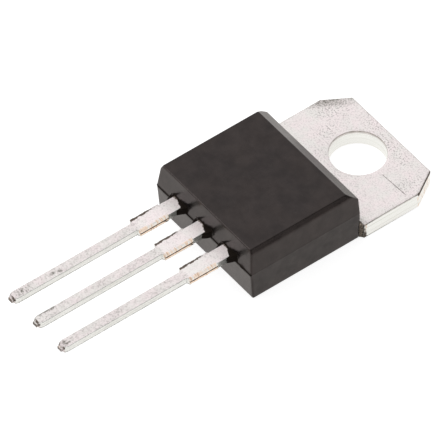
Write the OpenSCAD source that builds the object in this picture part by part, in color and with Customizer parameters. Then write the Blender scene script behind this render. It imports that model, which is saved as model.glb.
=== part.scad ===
// Three-lead power transistor in a moulded package with a bolt-down metal tab.
// A thick copper header carries the chip and runs on into the middle lead; the two
// outer leads end in bond posts beside it, and an epoxy moulding closes over all of it.
// Origin: centre of the tab's hole, on the face that lies on the heatsink.
// +X runs across the leads, +Y towards the tab's free end, +Z away from the heatsink.

/* [Leads] */
// Distance between the centre lines of neighbouring leads
lead_pitch = 2.54; // [2.1:0.02:3.1]
// Thickness of the thin part of the lead frame
lead_t = 0.5; // [0.4:0.02:0.6]
// Width of a lead where it goes through a circuit board
lead_w = 0.7; // [0.6:0.02:0.9]
// Width of a lead across the stub left by the cut dam bar
stub_w = 1.2; // [1.12:0.02:1.46]
// Width of the lead's root, between the moulding and the stub
root_w = 1.06; // [0.8:0.02:1.08]
// Length of the root, from the moulding to the stub
root_l = 1.25; // [1:0.05:1.6]
// Distance from the moulding to the outer end of the stub
stub_reach = 3.55; // [2.9:0.05:4.3]
// Distance from the moulding to the squared end of a lead
lead_reach = 13.2; // [10.9:0.1:15.8]
// Height of the leads' underside above the heatsink face
lead_z = 2.3; // [2.1:0.05:2.5]
// Length of the coined taper at the end of a lead
tip_l = 0.12; // [0.06:0.02:0.3]
// Thickness left at the end of the coined taper
tip_t = 0.24; // [0.2:0.02:0.36]
// Width of the slanted cut on each side of a lead's end, seen from above
tip_cut_x = 0.12; // [0.05:0.01:0.14]
// Length of that slanted cut along the lead
tip_cut_y = 0.4; // [0.2:0.05:0.8]
// Width of the sheared nib on the end of a lead
nib_w = 0.4; // [0.3:0.02:0.46]
// Length of the sheared nib
nib_l = 0.1; // [0.06:0.02:0.3]

/* [Tab and header] */
// Thickness of the tab and of the plate under the chip
tab_t = 1.2; // [1:0.05:1.5]
// Width of the tab
tab_w = 10.16; // [10:0.02:12.2]
// Distance from the centre of the hole to the tab's free end
tab_end = 2.7; // [2.5:0.05:3.3]
// Corner cut of the tab, measured along its free end
tab_cut_x = 1.1; // [0.5:0.05:1.6]
// Corner cut of the tab, measured along its side
tab_cut_y = 1.8; // [0.5:0.05:2.2]
// Diameter of the hole in the tab
hole_d = 3.78; // [3.1:0.02:4.1]
// Gap along each side between the full-width tab and the moulding
tab_notch = 0.18; // [0.1:0.02:0.3]
// Width of the resin on each side of the bare copper under the moulding
pad_side = 0.88; // [0.7:0.02:1.4]
// Length of the resin between the moulding's front and the bare copper
pad_gap = 2.2; // [2.1:0.05:2.4]
// Overhang of the plate's upper edge, which the moulding grips
grip_d = 0.35; // [0.2:0.05:0.45]
// Height of that overhang above the heatsink face
grip_z = 0.6; // [0.4:0.05:0.8]
// Width of the vee groove that is pressed across the plate
groove_w = 0.4; // [0.2:0.05:0.6]
// Depth of the vee groove
groove_depth = 0.2; // [0.1:0.05:0.3]
// Distance from the moulding's back wall to the vee groove
groove_in = 0.8; // [0.5:0.05:1]

/* [Bond posts and bent link] */
// Width of a bond post
post_w = 2.1; // [1.6:0.05:2.3]
// Length of a bond post
post_l = 1.35; // [1:0.05:1.5]
// Depth of the neck between the moulding's front and a bond post
neck_l = 0.5; // [0.3:0.05:0.7]
// Width of the link that joins the middle lead to the plate
link_w = 1.7; // [1.3:0.05:1.8]
// Inside radius of the link's two bends
bend_r = 0.2; // [0.1:0.05:0.3]
// Angle through which the link is bent
bend_angle = 60; // [50:1:65]

/* [Moulding] */
// Width of the moulding at its parting line
body_w = 9.76; // [8.1:0.02:11.8]
// Length of the moulding at its parting line
body_l = 8.7; // [7.6:0.05:10.5]
// Height of the moulding above the heatsink face
body_h = 4.3; // [3.8:0.05:5.2]
// Distance from the hole's centre to the moulding's back wall
body_back = 3.7; // [3.5:0.05:4.2]
// Draft of the front wall above and below the parting line
front_draft = 5; // [2:0.5:8]
// Draft of the side walls above the parting line
side_draft = 7; // [2:0.5:9]
// Draft of the side walls below the parting line, and of the back wall
low_draft = 1; // [0.5:0.5:3]
// Width of the bevel along the two long top edges
bevel_x = 0.2; // [0.1:0.02:0.4]
// Height of the bevel along the two long top edges
bevel_z = 0.38; // [0.2:0.02:0.6]
// Length of the chamfer over the tab
chamfer_y = 0.89; // [0.4:0.01:1.2]
// Height of the chamfer over the tab
chamfer_z = 0.82; // [0.4:0.01:1.2]
// Reach of the resin left in the corners beside each lead
web_reach = 0.55; // [0.3:0.05:0.8]
// Width of that resin where it meets the moulding
web_w = 0.28; // [0.1:0.02:0.4]

/* [Chip and wires] */
// Edge length of the square chip
chip_w = 3; // [2.5:0.1:3.6]
// Thickness of the chip
chip_t = 0.25; // [0.2:0.01:0.3]
// Width of the etched step round the chip's upper face
mesa_w = 0.12; // [0.06:0.02:0.2]
// Depth of the etched step
mesa_depth = 0.06; // [0.03:0.01:0.1]
// Distance from the moulding's back wall to the centre of the chip
chip_in = 3.6; // [3.3:0.1:3.7]
// Thickness of the solder under the chip
solder_t = 0.05; // [0.03:0.01:0.08]
// Width of the solder that shows round the chip
solder_rim = 0.12; // [0.05:0.01:0.2]
// Diameter of the base bond wire
base_wire_d = 0.15; // [0.1:0.01:0.2]
// Diameter of the emitter bond wire
emitter_wire_d = 0.38; // [0.25:0.01:0.46]
// Angle at which a bond wire leaves the chip
wire_rise = 65; // [60:1:72]

/* [Hidden] */

// Short overlap of two shapes that are fused into one piece
fuse = 0.2;
// Straight segments that stand for each bend of the link
bend_steps = 8;
// Facets of the round parts
round_fn = 64;

// Place of the moulding's front and back walls at the parting line
front_y = -(body_back + body_l);
back_y = -body_back;
// Top of the thin leads
lead_top = lead_z + lead_t;
// Edges of the plate under the moulding, and of the copper that it leaves bare
pad_w = body_w - 2 * pad_side;
pad_front = front_y + pad_gap;
plate_front = pad_front - grip_d;
plate_w = pad_w + 2 * grip_d;
tab_step = back_y + tab_notch;
// Levels of the stack on the plate
solder_top = tab_t + solder_t;
chip_top = solder_top + chip_t;
chip_y = back_y - chip_in;
// Middle of the bond posts
post_y = front_y + neck_l + post_l / 2;

tin = "#dad4d2";
resin = "#3d3836";

// Points of an outline whose left half mirrors the right half given here
function both_sides(right) = concat(
    right,
    [for (i = [len(right) - 1:-1:0]) [-right[i][0], right[i][1]]]
);

// Points along an arc in equal steps of angle
function arc(centre, r, from, to) = [
    for (i = [0:bend_steps])
        let (a = from + (to - from) * i / bend_steps)
            centre + r * [cos(a), sin(a)]
];

// Thin lead outside the moulding, seen from above, with its root at y = 0
module lead_outline() {
    ramp = (stub_w - lead_w) / 2;
    polygon(both_sides([
        [root_w / 2, fuse],
        [root_w / 2, -root_l],
        [stub_w / 2, -root_l],
        [stub_w / 2, -stub_reach + ramp],
        [lead_w / 2, -stub_reach],
        [lead_w / 2, -lead_reach + tip_cut_y],
        [lead_w / 2 - tip_cut_x, -lead_reach]
    ]));
}

// Side view of a lead: square until the coined taper of its end
module lead_side() {
    taper = (lead_t - tip_t) / 2;
    polygon([
        [fuse, 0],
        [fuse, lead_t],
        [-lead_reach + tip_l, lead_t],
        [-lead_reach, lead_t - taper],
        [-lead_reach, taper],
        [-lead_reach + tip_l, 0]
    ]);
}

// Turns a drawing of y against z into a bar of the given width across x
module across(width) {
    translate([-width / 2, 0, 0])
        rotate([90, 0, 90])
            linear_extrude(width)
                children();
}

// One lead from the moulding's front to its sheared nib
module outer_lead() {
    translate([0, front_y, lead_z]) {
        intersection() {
            linear_extrude(lead_t)
                lead_outline();
            across(2 * stub_w)
                lead_side();
        }
        translate([-nib_w / 2, -lead_reach - nib_l, (lead_t - tip_t) / 2])
            cube([nib_w, nib_l + tip_l, tip_t]);
    }
}

// Lead that ends inside the moulding in a bond post on a narrower neck
module posted_lead() {
    outer_lead();
    translate([0, front_y, lead_z])
        linear_extrude(lead_t)
            polygon(both_sides([
                [root_w / 2, 0],
                [root_w / 2, neck_l],
                [post_w / 2, neck_l],
                [post_w / 2, neck_l + post_l]
            ]));
}

// Bent strip from the middle lead down to the plate, drawn as y against z
module link_side() {
    turn = 1 - cos(bend_angle);
    drop = lead_top - tab_t;
    slope = (drop - (2 * bend_r + lead_t) * turn) / sin(bend_angle);
    run = (2 * bend_r + lead_t) * sin(bend_angle) + slope * cos(bend_angle);
    upper = [plate_front - run, lead_z - bend_r];
    lower = [plate_front, tab_t + bend_r];
    polygon(concat(
        [[front_y, lead_z], [front_y, lead_top]],
        arc(upper, bend_r + lead_t, 90, 90 - bend_angle),
        arc(lower, bend_r, -90 - bend_angle, -90),
        [[plate_front + fuse, tab_t], [plate_front + fuse, tab_t - lead_t]],
        arc(lower, bend_r + lead_t, -90, -90 - bend_angle),
        arc(upper, bend_r, 90 - bend_angle, 90)
    ));
}

// The link is as wide as the lead's root where it passes the moulding's front
module link() {
    intersection() {
        across(link_w)
            link_side();
        linear_extrude(lead_top)
            polygon(both_sides([
                [root_w / 2, front_y],
                [root_w / 2, front_y + neck_l / 2],
                [link_w / 2, front_y + neck_l],
                [link_w / 2, plate_front + fuse]
            ]));
    }
}

// Full-width tab with its two cut corners, and the bare copper behind it
module tab_outline() {
    polygon(both_sides([
        [pad_w / 2, pad_front],
        [pad_w / 2, tab_step],
        [tab_w / 2, tab_step],
        [tab_w / 2, tab_end - tab_cut_y],
        [tab_w / 2 - tab_cut_x, tab_end]
    ]));
}

// Tab and plate, with the overhang and the vee groove that hold the moulding
module plate() {
    difference() {
        union() {
            linear_extrude(tab_t)
                tab_outline();
            translate([-plate_w / 2, plate_front, grip_z])
                cube([plate_w, tab_step - plate_front, tab_t - grip_z]);
        }
        cylinder(d = hole_d, h = 3 * tab_t, center = true, $fn = round_fn);
        translate([0, back_y - groove_in, tab_t])
            across(tab_w)
                polygon([[-groove_w / 2, 0], [0, -groove_depth], [groove_w / 2, 0]]);
    }
}

module collector_header() {
    color(tin)
        union() {
            plate();
            link();
            outer_lead();
        }
}

module base_lead() {
    color(tin)
        translate([-lead_pitch, 0, 0])
            posted_lead();
}

module emitter_lead() {
    color(tin)
        translate([lead_pitch, 0, 0])
            posted_lead();
}

// Square block centred on the chip, with its corners cut
module chip_block(width, corner, z, height) {
    half = width / 2;
    translate([0, chip_y, z])
        linear_extrude(height)
            polygon(both_sides([
                [half - corner, -half],
                [half, corner - half],
                [half, half - corner],
                [half - corner, half]
            ]));
}

module die_solder() {
    color("#a3a4a8")
        chip_block(chip_w + 2 * solder_rim, solder_rim, tab_t, solder_t);
}

// Sawn chip with the etched step that ends its junction
module darlington_die() {
    color("#5a5d6b")
        union() {
            chip_block(chip_w, 0.01, solder_top, chip_t - mesa_depth);
            chip_block(chip_w - 2 * mesa_w, mesa_w, solder_top, chip_t);
        }
}

// Flattened foot that the bonding tool leaves on a wire
module bond_foot(wire_d) {
    intersection() {
        cylinder(d = 2.8 * wire_d, h = 0.6 * wire_d, $fn = round_fn);
        cube([3 * wire_d, 1.5 * wire_d, 2 * wire_d], center = true);
    }
}

// Wire from a point on the chip to a point on a post, bent to one circular arc
module bond_wire(start, finish, wire_d) {
    reach = norm([finish[0] - start[0], finish[1] - start[1]]);
    climb = finish[2] - start[2];
    heading = atan2(finish[1] - start[1], finish[0] - start[0]);
    chord_sq = reach * reach + climb * climb;
    loop_r = chord_sq / (2 * (reach * sin(wire_rise) - climb * cos(wire_rise)));
    fall = asin((reach - loop_r * sin(wire_rise)) / loop_r);
    translate(start)
        rotate([0, 0, heading]) {
            bond_foot(wire_d);
            translate([loop_r * sin(wire_rise), 0, wire_d / 2 - loop_r * cos(wire_rise)])
                rotate([90, 0, 0])
                    rotate([0, 0, 90 - fall])
                        rotate_extrude(angle = wire_rise + fall, $fn = round_fn)
                            translate([loop_r, 0])
                                circle(d = wire_d, $fn = round_fn);
            translate([reach, 0, climb])
                bond_foot(wire_d);
        }
}

// The thin wire lands on the base pad, near the chip's front left corner
module base_wire() {
    pad = [-chip_w * 0.3, chip_y - chip_w * 0.27, chip_top];
    color("#c8cace")
        bond_wire(pad, [-lead_pitch + post_w * 0.12, post_y, lead_top], base_wire_d);
}

// The thick wire lands on the emitter metal, near the middle of the chip
module emitter_wire() {
    pad = [chip_w * 0.2, chip_y - chip_w * 0.05, chip_top];
    color("#c8cace")
        bond_wire(pad, [lead_pitch - post_w * 0.1, post_y, lead_top], emitter_wire_d);
}

// Side view of the moulding: drafted front, chamfer over the tab, steep back wall
module body_side() {
    above = body_h - lead_z;
    shoulder_z = body_h - chamfer_z;
    polygon([
        [front_y + lead_z * tan(front_draft), 0],
        [front_y, lead_z],
        [front_y + above * tan(front_draft), body_h],
        [back_y - chamfer_y, body_h],
        [back_y, shoulder_z],
        [back_y + shoulder_z * tan(low_draft), tab_t],
        [back_y, tab_t],
        [back_y, 0]
    ]);
}

// Front view of the moulding: widest at the parting line, bevelled along the top
module body_front() {
    bevel_low = body_h - bevel_z;
    shoulder = body_w / 2 - (bevel_low - lead_z) * tan(side_draft);
    polygon(both_sides([
        [body_w / 2 - lead_z * tan(low_draft), 0],
        [body_w / 2, lead_z],
        [shoulder, bevel_low],
        [shoulder - bevel_x, body_h]
    ]));
}

// Resin that stays in the corners beside a lead when the dam bar is cut away
module lead_webs() {
    translate([0, front_y, lead_z])
        linear_extrude(lead_t)
            polygon(both_sides([
                [root_w / 2 + web_w, fuse],
                [root_w / 2 + web_w, 0],
                [root_w / 2, -web_reach]
            ]));
}

// Moulding with its two drafted halves, before the pieces inside are taken out of it
module resin_block() {
    intersection() {
        across(body_w)
            body_side();
        translate([0, back_y + 1, 0])
            rotate([90, 0, 0])
                linear_extrude(body_l + 2)
                    body_front();
    }
    for (side = [-1:1])
        translate([side * lead_pitch, 0, 0])
            lead_webs();
}

module moulded_body() {
    color(resin)
        difference() {
            resin_block();
            collector_header();
            base_lead();
            emitter_lead();
            die_solder();
            darlington_die();
            base_wire();
            emitter_wire();
        }
}

moulded_body();
collector_header();
base_lead();
emitter_lead();
die_solder();
darlington_die();
base_wire();
emitter_wire();
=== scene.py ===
import math

import bpy
import numpy as np
from mathutils import Matrix, Vector


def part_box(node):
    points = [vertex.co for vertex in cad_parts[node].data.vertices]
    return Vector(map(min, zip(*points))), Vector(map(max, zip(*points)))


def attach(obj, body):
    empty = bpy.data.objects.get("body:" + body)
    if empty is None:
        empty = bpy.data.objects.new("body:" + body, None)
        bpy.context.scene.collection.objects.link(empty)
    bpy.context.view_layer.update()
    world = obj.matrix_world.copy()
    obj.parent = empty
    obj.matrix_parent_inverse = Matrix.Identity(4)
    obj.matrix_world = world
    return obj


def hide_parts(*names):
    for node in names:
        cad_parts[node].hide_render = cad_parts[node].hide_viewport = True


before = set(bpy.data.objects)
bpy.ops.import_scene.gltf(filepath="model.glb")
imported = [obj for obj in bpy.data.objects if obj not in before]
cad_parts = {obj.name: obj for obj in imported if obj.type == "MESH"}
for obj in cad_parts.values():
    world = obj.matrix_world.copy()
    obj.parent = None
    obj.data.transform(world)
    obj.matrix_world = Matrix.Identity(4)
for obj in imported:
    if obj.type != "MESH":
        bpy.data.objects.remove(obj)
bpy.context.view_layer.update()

bl_info = {
    "name": "Darlington transistor",
    "version": (1, 0, 0),
    "blender": (4, 5, 0),
    "location": "View3D > Sidebar > Transistor",
    "description": "Finishes a three-lead darlington transistor: moulding, tinned copper, chip and wires",
    "category": "Add Mesh",
}

MM = 0.001
BODY = "root"
FRAME_NODES = ("collector_header", "base_lead", "emitter_lead")
INNER_NODES = ("die_solder", "darlington_die", "base_wire", "emitter_wire")

# Attributes that carry the marks of the metal and of the moulding to their materials
METAL_MASKS = ("wall", "rim", "bare", "burnt", "grime", "scuff")
RESIN_MASKS = ("flash", "dull", "residue")

HEADER_LOW, HEADER_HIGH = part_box("collector_header")
BASE_LOW, BASE_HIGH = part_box("base_lead")
EMITTER_LOW, EMITTER_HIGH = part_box("emitter_lead")
MOULDING_LOW, MOULDING_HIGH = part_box("moulded_body")
SOLDER_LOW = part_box("die_solder")[0]

# Levels and places that the frame gives
LEAD_LOW = BASE_LOW[2]
LEAD_TOP = BASE_HIGH[2]
LEAD_MIDDLE = (LEAD_LOW + LEAD_TOP) / 2
LEAD_THICKNESS = LEAD_TOP - LEAD_LOW
LEAD_PITCH = (EMITTER_LOW[0] + EMITTER_HIGH[0] - BASE_LOW[0] - BASE_HIGH[0]) / 4
POST_WIDTH = BASE_HIGH[0] - BASE_LOW[0]
POST_END = BASE_HIGH[1]
LEAD_END = BASE_LOW[1]
TAB_THICKNESS = SOLDER_LOW[2]
TAB_HALF = (HEADER_HIGH[0] - HEADER_LOW[0]) / 2
TAB_END = HEADER_HIGH[1]
MOULDING_HEIGHT = MOULDING_HIGH[2]
MOULDING_HALF = (MOULDING_HIGH[0] - MOULDING_LOW[0]) / 2


# ---------------------------------------------------------------------------
# Sizes and colours that a user may change
# ---------------------------------------------------------------------------

def length(name, text, value_mm, top_mm=30.0):
    """A length property with its default in millimetres."""
    return bpy.props.FloatProperty(
        name=name, description=text, default=value_mm * MM, min=-top_mm * MM, max=top_mm * MM,
        precision=5, unit="LENGTH",
    )


def angle(name, text, degrees):
    """An angle property with its default in degrees."""
    return bpy.props.FloatProperty(
        name=name, description=text, default=math.radians(degrees),
        min=math.radians(-180), max=math.radians(180), subtype="ANGLE",
    )


def colour(name, text, value):
    """A linear colour property."""
    return bpy.props.FloatVectorProperty(
        name=name, description=text, default=value, min=0.0, max=1.0, size=3, subtype="COLOR",
    )


def factor(name, text, value, top=1.0):
    """A plain number property."""
    return bpy.props.FloatProperty(
        name=name, description=text, default=value, min=0.0, max=top, subtype="FACTOR",
    )


class MouldingSettings(bpy.types.PropertyGroup):
    front_inset: length("Front", "Reach of the resin beside each lead, in front of the moulding", 0.55)
    back: length("Back", "Distance from the hole's centre to the back wall", 3.7)
    draft: angle("Front draft", "Draft of the front wall, above and below the parting line", 5)
    side_draft: angle("Side draft", "Draft of the side walls above the parting line", 7)
    low_draft: angle("Low draft", "Draft of the side walls below the parting line", 1)
    bevel_width: length("Bevel width", "Width of the bevel along the long top edges", 0.2)
    bevel_height: length("Bevel height", "Height of the bevel along the long top edges", 0.38)
    chamfer_length: length("Chamfer length", "Length of the chamfer over the tab", 0.89)
    chamfer_height: length("Chamfer height", "Height of the chamfer over the tab", 0.82)
    corner: length("Corner radius", "Radius of the upright corners", 0.11)
    edge: length("Edge radius", "Radius of the edges round the top", 0.07)
    flash: length("Flash", "How far the flash stands out of the parting line", 0.045)
    lump: length("Lump", "Place of the thickest flash across the front", 3.95)
    web_width: length("Web width", "Width of the resin beside each lead at the moulding", 0.28)
    dark: colour("Dark resin", "Colour of the resin in its dark patches", (0.0085, 0.0073, 0.0074))
    light: colour("Light resin", "Colour of the resin in its light patches", (0.0148, 0.0115, 0.0104))
    filler: colour("Filler", "Colour of the filler grains", (0.06, 0.054, 0.05))
    # The flash tone paints broken resin and also painted shade under the parting step and beside the leads'
    # roots.
    flash_and_shade_tone: colour("Flash tone", "Colour of broken resin", (0.012, 0.0088, 0.0065))
    crust_dark: colour("Dark crust", "Colour of the crust in the notches", (0.055, 0.042, 0.034))
    crust_light: colour("Light crust", "Colour of the crumbs on that crust", (0.50, 0.42, 0.34))
    gloss: factor("Roughness", "Roughness of the moulded surface", 0.19)


class MetalSettings(bpy.types.PropertyGroup):
    lead_width: length("Lead width", "Width of a lead where it goes through a board", 0.7)
    stub_width: length("Stub width", "Width of a lead across the stub of the dam bar", 1.2)
    stub_reach: length("Stub reach", "Distance from the moulding to the stub's outer end", 3.55)
    shoulder: length("Shoulder", "Length of the slope from a lead to its stub", 0.1)
    root_width: length("Root width", "Width of a lead's root", 1.06)
    root_length: length("Root length", "Length of a lead's root", 1.25)
    neck: length("Neck", "Depth of the neck inside the moulding", 0.5)
    link_width: length("Link width", "Width of the bent link to the plate", 1.7)
    bend_radius: length("Bend radius", "Inside radius of the link's bends", 0.2)
    bend: angle("Bend", "Angle of the link's bends", 60)
    nib_width: length("Nib width", "Width of the sheared nib on the end of a lead", 0.4)
    nib_length: length("Nib length", "Length of the sheared nib", 0.1)
    tip_length: length("Tip length", "Length of the coined taper", 0.12)
    tip_thickness: length("Tip thickness", "Thickness at the end of the coined taper", 0.24)
    tip_cut_across: length("Tip cut across", "Width of the rounded cut on each side of a lead's end", 0.12)
    tip_cut_along: length("Tip cut along", "Length of that cut along the lead", 0.4)
    burr: length("Burr", "Height of the ragged burr on the stub's left upper edge", 0.07)
    shear_roll: length("Shear roll", "How far the stub's right upper edge is rolled down", 0.05)
    shear_groove: length("Shear groove", "Depth of the groove between sheared and torn metal", 0.045)
    tear: length("Tear", "How far the torn lower part of a cut wall stands back", 0.03)
    burr_length: length("Burr length", "Length of the burr from the stub's outer end", 2.15)
    tab_cut_across: length("Corner cut across", "Corner cut of the tab along its free end", 1.1)
    tab_cut_along: length("Corner cut along", "Corner cut of the tab along its side", 1.8)
    tab_step: length("Tab step", "Distance from the hole's centre to the full-width tab's inner end", 3.52)
    hole: length("Hole", "Diameter of the tab's hole", 3.78)
    pad_width: length("Pad width", "Width of the bare copper under the moulding", 8.0)
    pad_front: length("Pad front", "Distance from the hole's centre to the front of the bare copper", 10.2)
    grip: length("Grip", "Overhang of the plate's upper edge", 0.35)
    grip_level: length("Grip level", "Height of the overhang above the heatsink face", 0.6)
    groove_back: length("Groove place", "Distance from the hole's centre to the vee groove", 4.5)
    groove_width: length("Groove width", "Width of the vee groove", 0.4)
    groove_depth: length("Groove depth", "Depth of the vee groove", 0.2)
    roll: length("Edge roll", "Radius that blanking leaves along the upper edges of the tab", 0.07)
    arris: length("Arris", "Radius of the other edges", 0.03)
    score_place: length("Score place", "Distance of the scored line from the hole's centre", -0.02)
    score_slope: factor("Score slope", "Lean of the scored line", 0.043)
    tin: colour("Tin", "Colour of the plated faces", (0.885, 0.80, 0.80))
    warm_tin: colour("Warm tin", "Colour of the plated faces in their warm patches", (0.835, 0.805, 0.78))
    cloudy_tin: colour("Cloudy tin", "Colour of the plated faces where they cloud over", (0.74, 0.68, 0.68))
    grain_tone: colour("Grain", "Colour of the fine grain of the plating", (0.40, 0.36, 0.36))
    pit_tone: colour("Pits", "Colour of the stipple of tiny pits", (0.26, 0.235, 0.23))
    # The rim tone is painted shade: a dark line along the rolled upper edges for their dark reflection.
    rim_shade_tone: colour("Rims", "Colour of the worn upper edges", (0.32, 0.285, 0.25))
    score_tone: colour("Score", "Colour of the scored line", (0.16, 0.13, 0.125))
    # The sheared tin is the walls' own greenish tin, lightened as a painted reflection of the bright floor.
    side_tin_and_sheen: colour("Sheared tin", "Colour of the plated side walls", (0.845, 0.865, 0.85))
    layer_tone: colour("Layers", "Colour of the fine layers on the side walls", (0.60, 0.62, 0.56))
    copper: colour("Copper", "Colour of the thin copper that shows on cut walls", (0.88, 0.70, 0.56))
    drag_tone: colour("Dragged copper", "Colour of the dark strokes in bare copper", (0.36, 0.23, 0.16))
    # The burr colour paints burrs and torn copper, and also painted shade in the stubs' slits, on the
    # coined facets and along the tab's edges.
    scorch_and_shade: colour("Burr", "Colour of burrs and torn copper", (0.138, 0.106, 0.085))
    mirror: factor("Mirror share", "How much of the light the tin mirrors rather than scatters", 0.7)
    # The grime colour paints dirt and resin bleed, and also painted shade along the leads' lower edges and
    # on their roots' walls.
    grime: colour("Grime", "Colour of the dirt and resin bleed", (0.15, 0.14, 0.115))
    gloss: factor("Roughness", "Roughness of the matt tin", 0.42)


class StageSettings(bpy.types.PropertyGroup):
    azimuth: angle("Azimuth", "Turn of the camera about the upright axis", 51.898)
    elevation: angle("Elevation", "Height angle of the camera", 48.238)
    roll: angle("Roll", "Roll of the camera", 0.427)
    distance: length("Distance", "Distance from the camera to its target", 646.93, 2000.0)
    target: bpy.props.FloatVectorProperty(
        name="Target", description="Point in the middle of the picture",
        default=(-0.402 * MM, -10.613 * MM, 1.5 * MM), size=3, subtype="TRANSLATION",
    )
    focal_share: bpy.props.FloatProperty(
        name="Focal length", description="Focal length as a multiple of the picture's width",
        default=23.118, min=0.5, max=60.0,
    )
    floor_size: length("Floor", "Edge length of the floor", 6000.0, 20000.0)
    floor_colour: colour("Floor colour", "Colour of the plain floor", (0.45, 0.45, 0.45))
    glow_tint: colour(
        "Glow tint", "Tint of the floor's extra brightness in reflections", (1.0, 0.96, 0.922))
    floor_glow: factor("Floor glow", "Extra brightness of the floor to the eye", 0.82, 2.0)
    mirrored_glow: factor("Mirrored glow", "Extra brightness of the floor in reflections", 0.9, 2.0)
    mirrored_share: factor("Mirrored share", "Share of the floor's own light in reflections", 0.55)
    bright_side: bpy.props.FloatVectorProperty(
        name="Bright side", description="Direction from which the world gives most light",
        default=(-0.55, -0.1, 0.83), size=3, subtype="DIRECTION",
    )
    dim: factor("Dim", "Strength of the world on its dim side", 0.2)
    bright: factor("Bright", "Strength of the world on its bright side", 0.9)
    lamp_place: bpy.props.FloatVectorProperty(
        name="Lamp place", description="Place of the soft lamp",
        default=(-450 * MM, -120 * MM, 700 * MM), size=3, subtype="TRANSLATION",
    )
    lamp_size: length("Lamp size", "Edge length of the soft lamp", 500.0, 5000.0)
    lamp_power: bpy.props.FloatProperty(
        name="Lamp power", description="Power of the soft lamp", default=1.8, min=0.0, unit="POWER",
    )


# ---------------------------------------------------------------------------
# Surfaces
# ---------------------------------------------------------------------------

def stations(breaks, step):
    """Numbers 0, 1, 2 ... of the breaks, with equal parts between, none longer than step."""
    parts = np.maximum(1, np.ceil(np.abs(np.diff(breaks)) / step - 1e-6).astype(int))
    pieces = [k + np.arange(n) / n for k, n in enumerate(parts)]
    return np.concatenate(pieces + [np.array([len(parts)], float)])


def ripple(along, across, seed, scale):
    """Ragged number from about -1 to 1: a sum of five waves whose lengths never repeat together."""
    turn = np.random.default_rng(seed).uniform(0, 2 * np.pi, 5)
    waves = zip((1.0, 1.73, 2.91, 4.37, 7.13), (1.0, 0.8, 0.6, 0.45, 0.3), turn)
    total = sum(
        size * np.sin(rate * along / scale + 1.3 * rate * across / scale + phase)
        for rate, size, phase in waves
    )
    return total / 1.8


def soft_min(a, b, width):
    """Lower of two values, blended by a parabola where they differ by less than width."""
    share = np.clip(0.5 + 0.5 * (b - a) / width, 0, 1)
    return b + (a - b) * share - width * share * (1 - share)


def rounded_ring(arc_steps, x_steps, y_steps):
    """Ring round a rectangle with rounded corners, anticlockwise from the +X side.

    Gives for each point the share of the half sizes that its arc's centre has, from -1 to 1
    along each side, and the unit direction of its arc.
    """
    corners = np.array([[1, 1], [-1, 1], [-1, -1], [1, -1]], float)
    shares, ways = [], []
    for k, (corner, following) in enumerate(zip(corners, np.roll(corners, -1, 0))):
        turn = np.pi / 2 * (k + np.linspace(0, 1, arc_steps + 1))
        shares.append(np.repeat(corner[None], arc_steps + 1, 0))
        ways.append(np.stack([np.cos(turn), np.sin(turn)], 1))
        steps = (x_steps, y_steps)[k % 2]
        along = np.arange(1, steps)[:, None] / steps
        shares.append(corner + (following - corner) * along)
        ways.append(np.repeat(ways[-1][-1:], steps - 1, 0))
    return np.concatenate(shares), np.concatenate(ways)


def placed(name, data):
    """New object that shows the data, linked to the scene."""
    made = bpy.data.objects.new(name, data)
    bpy.context.scene.collection.objects.link(made)
    return made


def grid_mesh(name, points, closed=False):
    """Mesh of a grid of points whose columns run round: closed joins its last row to its first,
    otherwise both end rings are capped."""
    rows, columns = points.shape[:2]
    row = np.arange(rows if closed else rows - 1)[:, None]
    column = np.arange(columns)[None, :]
    next_row, next_column = (row + 1) % rows, (column + 1) % columns
    quads = np.stack(np.broadcast_arrays(
        row * columns + column, row * columns + next_column,
        next_row * columns + next_column, next_row * columns + column,
    ), axis=-1).reshape(-1, 4).tolist()
    if not closed:
        ring = np.arange(columns)
        quads.append(ring[::-1].tolist())
        quads.append(((rows - 1) * columns + ring).tolist())
    mesh = bpy.data.meshes.new(name)
    mesh.from_pydata(points.reshape(-1, 3).tolist(), [], quads)
    mesh.validate()
    return placed(name, mesh)


def vertices(piece):
    """The piece's vertices as an array."""
    flat = np.empty(3 * len(piece.data.vertices), np.float32)
    piece.data.vertices.foreach_get("co", flat)
    return flat.reshape(-1, 3).astype(float)


def copied(node):
    """Free copy of a CAD node, with its loose triangles merged."""
    made = placed(node + "_tool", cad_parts[node].data.copy())
    made.modifiers.new("merge", "WELD").merge_threshold = 1e-7
    return settled(made)


def settled(piece):
    """The piece with its modifiers carried out."""
    graph = bpy.context.evaluated_depsgraph_get()
    mesh = bpy.data.meshes.new_from_object(piece.evaluated_get(graph))
    piece.modifiers.clear()
    piece.data = mesh
    return piece


def combined(piece, operation, tools, keep=False):
    """Joins the tools to the piece or cuts them out of it, and removes them unless keep is set."""
    for tool in tools:
        step = piece.modifiers.new(operation, "BOOLEAN")
        step.operation = operation
        step.solver = "MANIFOLD"
        step.object = tool
        settled(piece)
        if len(piece.data.polygons) == 0:
            raise RuntimeError(f"{piece.name}: nothing is left after {tool.name}")
    if not keep:
        for tool in tools:
            bpy.data.objects.remove(tool)
    return piece


def painted(piece, marks, *settings):
    """Stores the masks that marks gives for the piece's vertices as attributes of the piece."""
    for name, mask in marks(*vertices(piece).T, *settings).items():
        layer = piece.data.attributes.new(name, "FLOAT", "POINT")
        layer.data.foreach_set("value", np.clip(mask, 0, 1).astype(np.float32))
    return piece


def finished(piece, name, material, nodes, crease=32):
    """Names the piece, gives it its material and edges, and seats it in the frame."""
    piece.name = name
    piece.data.name = name
    piece.data.materials.clear()
    piece.data.materials.append(material)
    piece.data.shade_smooth()
    piece.data.set_sharp_from_angle(angle=math.radians(crease))
    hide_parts(*nodes)
    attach(piece, BODY)
    return piece


def band(value, low, high, soft):
    """1 between low and high, falling to 0 over soft on either side."""
    rise = np.clip((value - low) / soft + 1, 0, 1)
    fall = np.clip((high - value) / soft + 1, 0, 1)
    return np.minimum(rise, fall)


# ---------------------------------------------------------------------------
# Materials
# ---------------------------------------------------------------------------

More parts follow.
